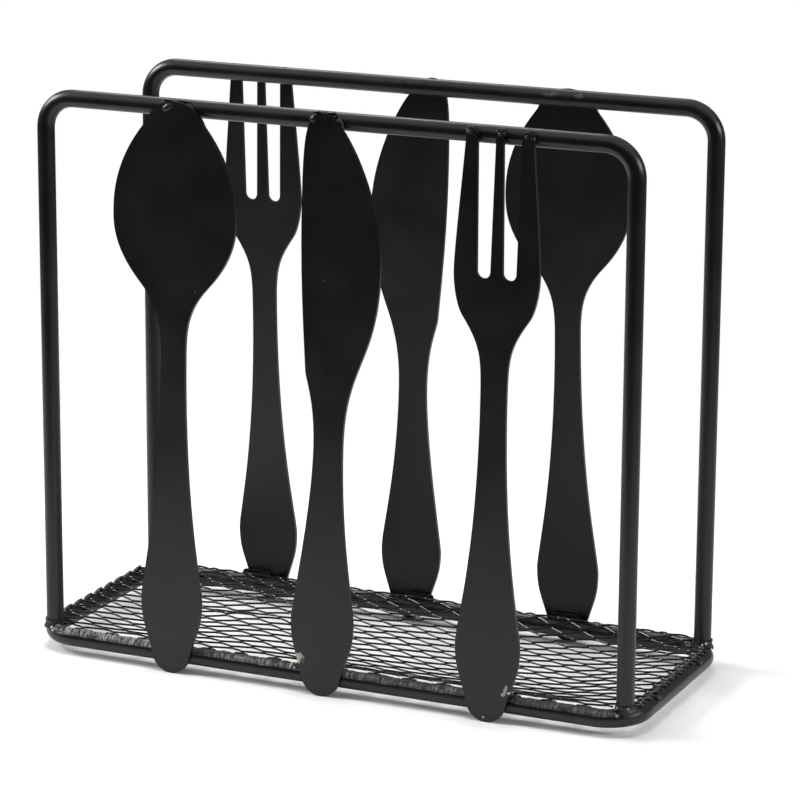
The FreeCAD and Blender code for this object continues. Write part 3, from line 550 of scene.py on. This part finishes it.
def add_piece(name, vertices, faces, materials, slot, replaced=(), look=None):
    """A smooth-shaded mesh piece that rides with the holder. Its look is its slot's unless one is given."""
    mesh = bpy.data.meshes.new(name)
    mesh.from_pydata(vertices, [], faces)
    mesh.validate()
    mesh.polygons.foreach_set("use_smooth", [True] * len(mesh.polygons))
    piece = bpy.data.objects.new(name, mesh)
    bpy.context.scene.collection.objects.link(piece)
    paint(piece, materials[look or slot])
    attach(piece, "root")
    if replaced:
        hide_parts(*replaced)
    return piece


def make_expanded_mesh(materials):
    across = Vector((0, math.cos(STRAND_TILT), math.sin(STRAND_TILT)))
    through = Vector((0, -math.sin(STRAND_TILT), math.cos(STRAND_TILT)))
    section = strand_section()
    vertices = []
    faces = []

    def shape(point):
        return sheet_point(point.x, point.y, point.z)

    for row in range(2 * ROWS):
        for run in strand_line(row):
            sweep(vertices, faces, run, section, across, through, shape)
    add_piece("expanded_mesh", vertices, faces, materials, "mesh_coating", ["base_mesh"])


# ---------------------------------------------------------------- pressed, folded and welded edges

RIB_PITCH = 0.56 * MM
RIB_HEIGHT = 0.18 * MM
RIB_STEPS = 5                      # sections to a rib
RIB_SLANT = 0.35 * MM              # along the ring, from the ribbon's inner side to its outer one
RIB_WOBBLE = 0.18 * MM
PRESSED_PAST_BEND = 5.5 * MM       # length of the ribbon on each of the ring's corners
PRESSED_FROM = math.radians(-12)   # round the rod, from its top
PRESSED_TO = math.radians(60)
PRESSED_FROM_WOBBLE = math.radians(10)
PRESSED_TO_WOBBLE = math.radians(9)
PRESSED_STEPS = 14                 # faces across the ribbon
PRESSED_SINK = 0.05 * MM           # of its sides, into the rod
PRESSED_THICK = 0.24 * MM
PRESSED_HEAP = 0.45 * MM           # where the sheet is heaped up along its inner side
PRESSED_ROUGH = 0.12 * MM
PRESSED_FLANKS = 6                 # each side rises from the rod over one part in so many of the width

# Cells of the ribbon's noises to a metre of its run.
FROM_CELLS, TO_CELLS, HEAP_CELLS, WOBBLE_CELLS, ROUGH_CELLS = 160, 260, 330, 500, 900


def ring_front(run):
    """A point of the ring's axis at a run along its front rod and corners, and the way outwards there."""
    straight = RING_AXIS.x - CORNER_RADIUS
    turn = max(0.0, abs(run) - straight) / CORNER_RADIUS
    way = Vector((math.copysign(math.sin(turn), run), -math.cos(turn), 0))
    x = math.copysign(min(abs(run), straight), run)
    centre = Vector((x, CORNER_RADIUS - RING_AXIS.y, RING_AXIS.z))
    return centre + way * CORNER_RADIUS, way


def make_pressed_edge(materials):
    """The mesh's front edge, hammered flat over the ring's front rod: a ribbon of close ribs."""
    half = RING_AXIS.x - CORNER_RADIUS + PRESSED_PAST_BEND
    step = RIB_PITCH / RIB_STEPS
    count = int(2 * half / step)
    vertices = []
    faces = []
    for i in range(count + 1):
        run = -half + i * step
        centre, way = ring_front(run)
        start = PRESSED_FROM + PRESSED_FROM_WOBBLE * noise.noise(Vector((run * FROM_CELLS, 3.0, 0)))
        end = PRESSED_TO + PRESSED_TO_WOBBLE * noise.noise(Vector((run * TO_CELLS, 8.0, 0)))
        for j in range(PRESSED_STEPS + 1):
            share = j / PRESSED_STEPS
            angle = start + (end - start) * share
            wobble = RIB_WOBBLE * noise.noise(Vector((run * WOBBLE_CELLS, share * 2, 1)))
            skew = run + RIB_SLANT * share + wobble
            rib = 0.5 + 0.5 * math.sin(2 * math.pi * skew / RIB_PITCH)
            rough = noise.noise(Vector((run * ROUGH_CELLS, share * 5, 4)))
            edge = smooth(min(share, 1 - share) * PRESSED_FLANKS)
            heap = PRESSED_HEAP * (1 - share) * max(0.0, noise.noise(Vector((run * HEAP_CELLS, 6.0, 0))))
            thick = PRESSED_THICK + heap + RIB_HEIGHT * rib + PRESSED_ROUGH * rough
            radius = ROD_RADIUS - PRESSED_SINK + edge * thick
            up = Vector((0, 0, radius * math.cos(angle)))
            vertices.append(centre + way * radius * math.sin(angle) + up)
    width = PRESSED_STEPS + 1
    for i in range(count):
        for j in range(PRESSED_STEPS):
            a = i * width + j
            faces.append((a, a + 1, a + width + 1, a + width))
    add_piece("pressed_front_edge", vertices, faces, materials, "mesh_coating", look="pressed_coating")


LUMP_RINGS = 7
LUMP_SIDES = 12
LUMP_GRAIN = 1.6                   # cells of the noise to a half size


def lump(vertices, faces, centre, halves, turn, rough, seed):
    """Adds a closed rough ellipsoid."""
    rings, sides = LUMP_RINGS, LUMP_SIDES
    start = len(vertices)
    spot = Vector((seed * 3.7, seed * 1.3, seed * 5.1))

    def place(latitude, longitude):
        way = Vector((math.cos(latitude) * math.cos(longitude), math.cos(latitude) * math.sin(longitude),
                      math.sin(latitude)))
        swell = 1 + rough * noise.noise(way * LUMP_GRAIN + spot)
        return centre + turn @ Vector(tuple(a * b * swell for a, b in zip(way, halves)))

    vertices.append(place(-math.pi / 2, 0))
    for ring in range(1, rings):
        for side in range(sides):
            vertices.append(place(-math.pi / 2 + math.pi * ring / rings, 2 * math.pi * side / sides))
    vertices.append(place(math.pi / 2, 0))
    top = len(vertices) - 1
    for side in range(sides):
        after = (side + 1) % sides
        faces.append((start, start + 1 + after, start + 1 + side))
        last = start + 1 + (rings - 2) * sides
        faces.append((top, last + side, last + after))
        for ring in range(rings - 2):
            low = start + 1 + ring * sides
            faces.append((low + side, low + after, low + sides + after, low + sides + side))


def turned(z_degrees, y_degrees=0.0):
    """A turn about Y and then about Z."""
    about_z = Matrix.Rotation(math.radians(z_degrees), 3, "Z")
    return about_z @ Matrix.Rotation(math.radians(y_degrees), 3, "Y")


LEFT_FOLDS = 4                     # to each side of the middle, one to a diamond
LEFT_FOLD_OUT = 0.45 * MM          # past the ring's axis
LEFT_FOLD_UP = 0.12 * MM           # above the rod's top
LEFT_FOLD_HALVES = (1.30 * MM, 3.2 * MM, 0.56 * MM)
LEFT_FOLD_TURN = (13, -36)
LEFT_FOLD_ROUGH = 0.14
LEFT_FOLD_SHIFT = 0.4 * MM         # unevenness along the rod
RIGHT_FOLDS = 9                    # to each side of the middle, one to each cut strand
RIGHT_FOLD_IN = 0.8 * MM
RIGHT_FOLD_UP = 0.02 * MM
RIGHT_FOLD_HALVES = (2.1 * MM, 0.80 * MM, 0.50 * MM)
RIGHT_FOLD_TURNS = ((4, -12), (22, -12))    # of every other one
RIGHT_FOLD_ROUGH = 0.30
RIGHT_FOLD_SHIFT = 0.3 * MM


def make_side_folds(materials):
    """The sheet's cut ends, folded over the ring's left rod and bent down on its right one."""
    vertices = []
    faces = []
    for k in range(-LEFT_FOLDS, LEFT_FOLDS + 1):
        y = k * PITCH_Y + LEFT_FOLD_SHIFT * noise.noise(Vector((k, 2.5, 0)))
        centre = Vector((-RING_AXIS.x - LEFT_FOLD_OUT, y, RING_AXIS.z + ROD_RADIUS + LEFT_FOLD_UP))
        lump(vertices, faces, centre, LEFT_FOLD_HALVES, turned(*LEFT_FOLD_TURN), LEFT_FOLD_ROUGH, k + 20)
    add_piece("left_folds", vertices, faces, materials, "mesh_coating")
    vertices = []
    faces = []
    for k in range(-RIGHT_FOLDS, RIGHT_FOLDS + 1):
        y = k * PITCH_Y / 2 + RIGHT_FOLD_SHIFT * noise.noise(Vector((k, 7.5, 0)))
        centre = Vector((RING_AXIS.x - RIGHT_FOLD_IN, y, RING_AXIS.z + ROD_RADIUS + RIGHT_FOLD_UP))
        turn = turned(*RIGHT_FOLD_TURNS[k % 2])
        lump(vertices, faces, centre, RIGHT_FOLD_HALVES, turn, RIGHT_FOLD_ROUGH, k + 50)
    add_piece("right_folds", vertices, faces, materials, "mesh_coating")


# Weld crumbs: centre and size in millimetres.
CRUMBS = [
    (-79.2, -30.2, 5.6, 0.55), (-78.3, -30.9, 6.2, 0.40), (78.4, -30.8, 6.9, 0.55), (80.0, -29.6, 6.6, 0.50),
    (77.4, 29.4, 6.5, 0.50), (78.2, 28.6, 6.6, 0.38), (76.2, 29.6, 6.4, 0.34),
    (-5.2, 26.5, 147.8, 0.34), (-3.4, 26.4, 147.6, 0.28), (-0.8, 26.5, 147.7, 0.36), (1.2, 26.4, 147.7, 0.26),
    (3.4, 26.6, 147.8, 0.32), (32.6, 26.4, 147.7, 0.30), (35.3, 26.5, 147.8, 0.36), (39.8, 26.4, 147.6, 0.28),
    (44.6, 26.5, 147.7, 0.34), (-6.9, -32.2, 6.9, 0.60), (-5.9, -33.0, 8.0, 0.55), (-7.9, -32.4, 6.5, 0.40),
    (51.0, -32.9, 6.9, 0.55), (51.6, -32.4, 6.5, 0.45),
]
CRUMB_SHAPE = (1.2, 1.0, 0.8)      # half sizes to the size
CRUMB_ROUGH = 0.5
CRUMB_TURN = 37                    # degrees from each to the next

# Weld that rises over the plates' tops: centre, half sizes and turn, in millimetres and degrees. Its X is
# taken from the middle of the plate's top, and the front plates' values are turned round for the rear ones.
NUBS = {
    "spoon": [(-2.2, -30.7, 146.6, 2.0, 1.15, 1.15, 30), (0.6, -30.3, 147.2, 1.7, 0.95, 0.70, 0),
              (3.7, -30.2, 146.3, 2.1, 0.95, 1.15, -42)],
    "knife": [(-2.7, -30.4, 146.8, 1.5, 1.15, 1.15, 40), (0.6, -30.3, 147.4, 1.6, 1.00, 0.75, 0),
              (3.9, -30.15, 146.0, 1.5, 0.95, 1.15, -50)],
    "fork": [(-7.8, -30.45, 147.0, 1.35, 1.10, 0.80, 8), (0.1, -30.45, 146.9, 1.15, 1.10, 0.75, 5),
             (6.8, -30.5, 146.8, 0.85, 1.15, 0.75, 25), (8.3, -30.4, 146.4, 0.75, 1.00, 0.65, -30)],
}
NUB_ROUGH = 0.18
REAR_NUB_DROP = 0.7                # millimetres, so that the rail hides the rear ones from the front
TOP_BAND = 1.6 * MM                # height of what counts as a plate's top


def top_middle(name):
    """The middle of a plate's top, along the holder."""
    corners = [vertex.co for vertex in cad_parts[name].data.vertices]
    peak = max(corner.z for corner in corners)
    high = [corner.x for corner in corners if corner.z > peak - TOP_BAND]
    return (min(high) + max(high)) / 2


def make_crumbs(materials):
    """The crumbs of weld by the feet and tops, and the nubs over the plates' tops."""
    vertices = []
    faces = []
    for index, (x, y, z, size) in enumerate(CRUMBS):
        halves = tuple(size * share * MM for share in CRUMB_SHAPE)
        turn = turned(CRUMB_TURN * index)
        lump(vertices, faces, Vector((x, y, z)) * MM, halves, turn, CRUMB_ROUGH, index)
    for plate, nubs in NUBS.items():
        for end, side, drop in (("front", 1, 0), ("rear", -1, REAR_NUB_DROP)):
            middle = Vector((top_middle(f"{end}_{plate}"), 0, 0))
            for index, (x, y, z, wide, deep, high, turn) in enumerate(nubs):
                halves = (wide * MM, deep * MM, high * MM)
                slant = Matrix.Rotation(math.radians(-turn * side), 3, "Y")
                centre = middle + Vector((x * side, y * side, z - drop)) * MM
                lump(vertices, faces, centre, halves, slant, NUB_ROUGH, index + 80)
    add_piece("weld_crumbs", vertices, faces, materials, "weld_coating")


# ---------------------------------------------------------------- the holder

EDGE_ROUNDING = 0.12 * MM
SHARP_FROM = math.radians(50)
BEAD_VOXEL = 0.20 * MM
BEAD_GRAIN = 0.9 * MM
BEAD_LUMPS = 0.5 * MM              # depth, all of it inwards
BEAD_DROP = 0.65 * MM


def soften_edges(node):
    """The thin rounding that powder coat gives a cut sheet."""
    bevel = node.modifiers.new("rounding", "BEVEL")
    bevel.width = EDGE_ROUNDING
    bevel.segments = 2
    bevel.limit_method = "ANGLE"
    bevel.angle_limit = SHARP_FROM


def roughen(node):
    """Turns a plain bead into a lumpy one."""
    remesh = node.modifiers.new("grain", "REMESH")
    remesh.mode = "VOXEL"
    remesh.voxel_size = BEAD_VOXEL
    remesh.use_smooth_shade = True
    clouds = bpy.data.textures.new("weld_grain", "CLOUDS")
    clouds.noise_scale = BEAD_GRAIN
    clouds.noise_depth = 2
    lumps = node.modifiers.new("lumps", "DISPLACE")
    lumps.texture = clouds
    lumps.texture_coords = "LOCAL"
    lumps.strength = BEAD_LUMPS
    lumps.mid_level = 1.0


def lower_rear_beads(materials):
    """The rear plates' beads, with the top one a little lower so that the rail hides it from the front."""
    middle = (RING_AXIS.z + CAD_BOX[1][2]) / 2
    for plate in ("knife", "spoon"):
        name = f"rear_{plate}_welds"
        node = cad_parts[name]
        vertices = [vertex.co - Vector((0, 0, BEAD_DROP if vertex.co.z > middle else 0))
                    for vertex in node.data.vertices]
        faces = [tuple(polygon.vertices) for polygon in node.data.polygons]
        piece = add_piece(f"rear_{plate}_beads", vertices, faces, materials, "weld_coating", [name])
        roughen(piece)


def dress_frame(materials):
    """Paints every node, rounds the plates' edges and roughens the beads."""
    for name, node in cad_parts.items():
        if name.endswith(("_spoon", "_knife", "_fork")):
            kind = "plate_coating"
        elif name.endswith("_frame") or name == "base_ring":
            kind = "rod_coating"
        elif name == "base_mesh":
            kind = "mesh_coating"
        else:
            kind = "weld_coating"
        paint(node, materials[kind])
        if kind == "plate_coating":
            soften_edges(node)
        elif kind == "weld_coating":
            roughen(node)


make_camera()
make_world()
make_floor()
for softbox in SOFTBOXES:
    make_lamp(*softbox)
bpy.context.scene.view_settings.view_transform = "Standard"

materials = make_materials()
dress_frame(materials)
make_expanded_mesh(materials)
make_pressed_edge(materials)
make_side_folds(materials)
make_crumbs(materials)
lower_rear_beads(materials)
